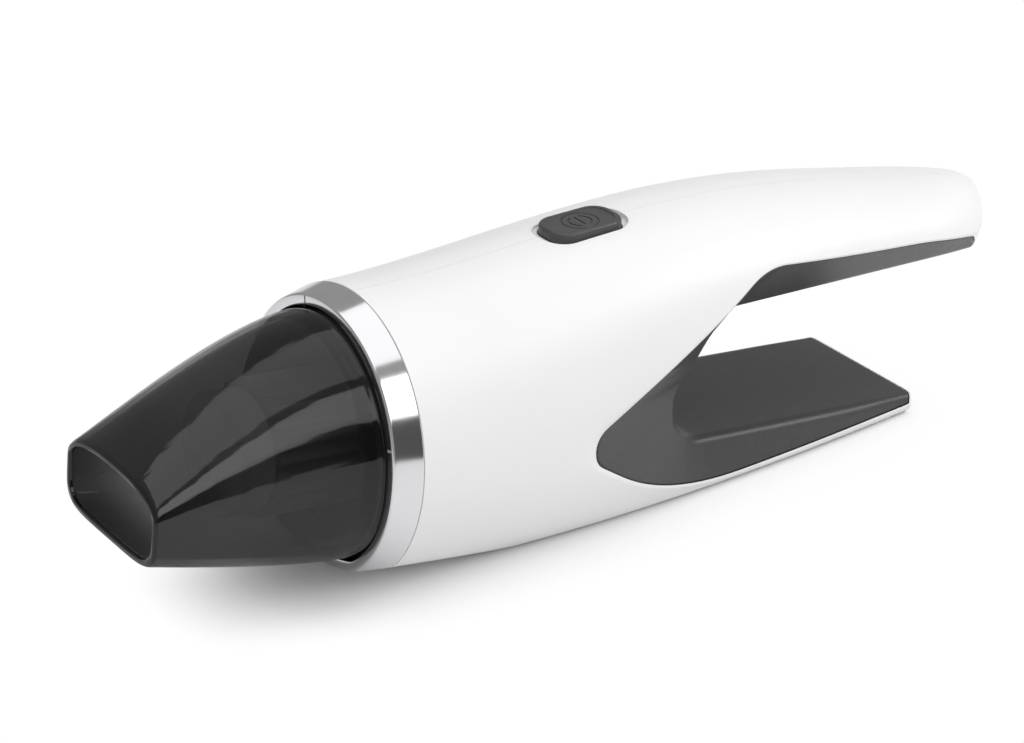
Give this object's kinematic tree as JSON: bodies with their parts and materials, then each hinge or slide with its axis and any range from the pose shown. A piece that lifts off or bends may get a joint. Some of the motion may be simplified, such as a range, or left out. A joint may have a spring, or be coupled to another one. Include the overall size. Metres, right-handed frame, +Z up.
{
  "type": "car vacuum cleaner",
  "caption": "Cordless handheld car vacuum cleaner with a smoked pull-off dust cup, bright trim ring, white two-half housing, grey grip liner and power button.",
  "frame": {"origin": "middle of the flat sole, on the surface that the cleaner stands on", "axes": "+X towards the handle's end, nozzle at -X, +Z up, mirror plane at Y = 0"},
  "size_m": [0.328, 0.09, 0.0894],
  "materials": {
    "white_shell": "satin white moulding",
    "grey_grip": "fine matte grain",
    "bright_trim": "bright plated",
    "smoked_cup": "clear smoked moulding",
    "black_rubber": "soft black",
    "dark_plastic": "fine matte",
    "filter_cloth": "pleated non-woven",
    "pale_plastic": "moulded",
    "steel": "plain",
    "copper": "plain",
    "magnet": "sintered",
    "foam": "open cell",
    "circuit_board": "solder mask",
    "cell_sleeve": "shrink sleeve"
  },
  "bodies": {
    "housing": {"body_left": "white_shell", "body_right": "white_shell", "grip_liner": "grey_grip", "trim_ring": "bright_trim", "cup_seal": "black_rubber", "front_bulkhead": "dark_plastic", "fan_housing": "dark_plastic", "motor_can": "steel", "motor_magnets": "magnet", "motor_end_cap": "pale_plastic", "motor_brushes": "magnet", "front_bearing": "copper", "rear_bearing": "copper", "front_motor_mount": "black_rubber", "rear_motor_mount": "black_rubber", "exhaust_foam": "foam", "switch_body": "dark_plastic", "control_board": "circuit_board", "cell_left": "cell_sleeve", "cell_right": "cell_sleeve", "cell_holder": "dark_plastic", "cell_straps": "steel", "charge_board": "circuit_board", "charge_socket": "steel", "housing_screws": "steel"},
    "cup": {"dust_cup": "smoked_cup"},
    "filter": {"filter_frame": "dark_plastic", "filter_media": "filter_cloth", "filter_cap": "dark_plastic"},
    "rotor": {"fan_wheel": "pale_plastic", "motor_shaft": "steel", "motor_armature": "copper", "motor_commutator": "copper"},
    "button": {"power_button": "grey_grip", "button_spring_pad": "black_rubber", "switch_plunger": "dark_plastic"}
  },
  "joints": [
    {"name": "cup_pull", "type": "slide", "parent": "housing", "child": "cup", "axis": [-0.9941, 0, 0.1089], "range_m": [0, 0.11]},
    {"name": "filter_pull", "type": "slide", "parent": "housing", "child": "filter", "axis": [-0.9941, 0, 0.1089], "range_m": [0, 0.055]},
    {"name": "rotor_spin", "type": "hinge", "parent": "housing", "child": "rotor", "pos_m": [-0.0504, 0, 0.03581], "axis": [-0.9941, 0, 0.1089], "continuous": true},
    {"name": "button_press", "type": "slide", "parent": "housing", "child": "button", "axis": [0, 0, -1], "range_m": [0, 0.0015], "stiffness_N_per_m": 400, "springref_m": -0.002}
  ],
  "couplings": [
    {"joint": "filter_pull", "follows": "cup_pull", "ratio": 0.5}
  ]
}
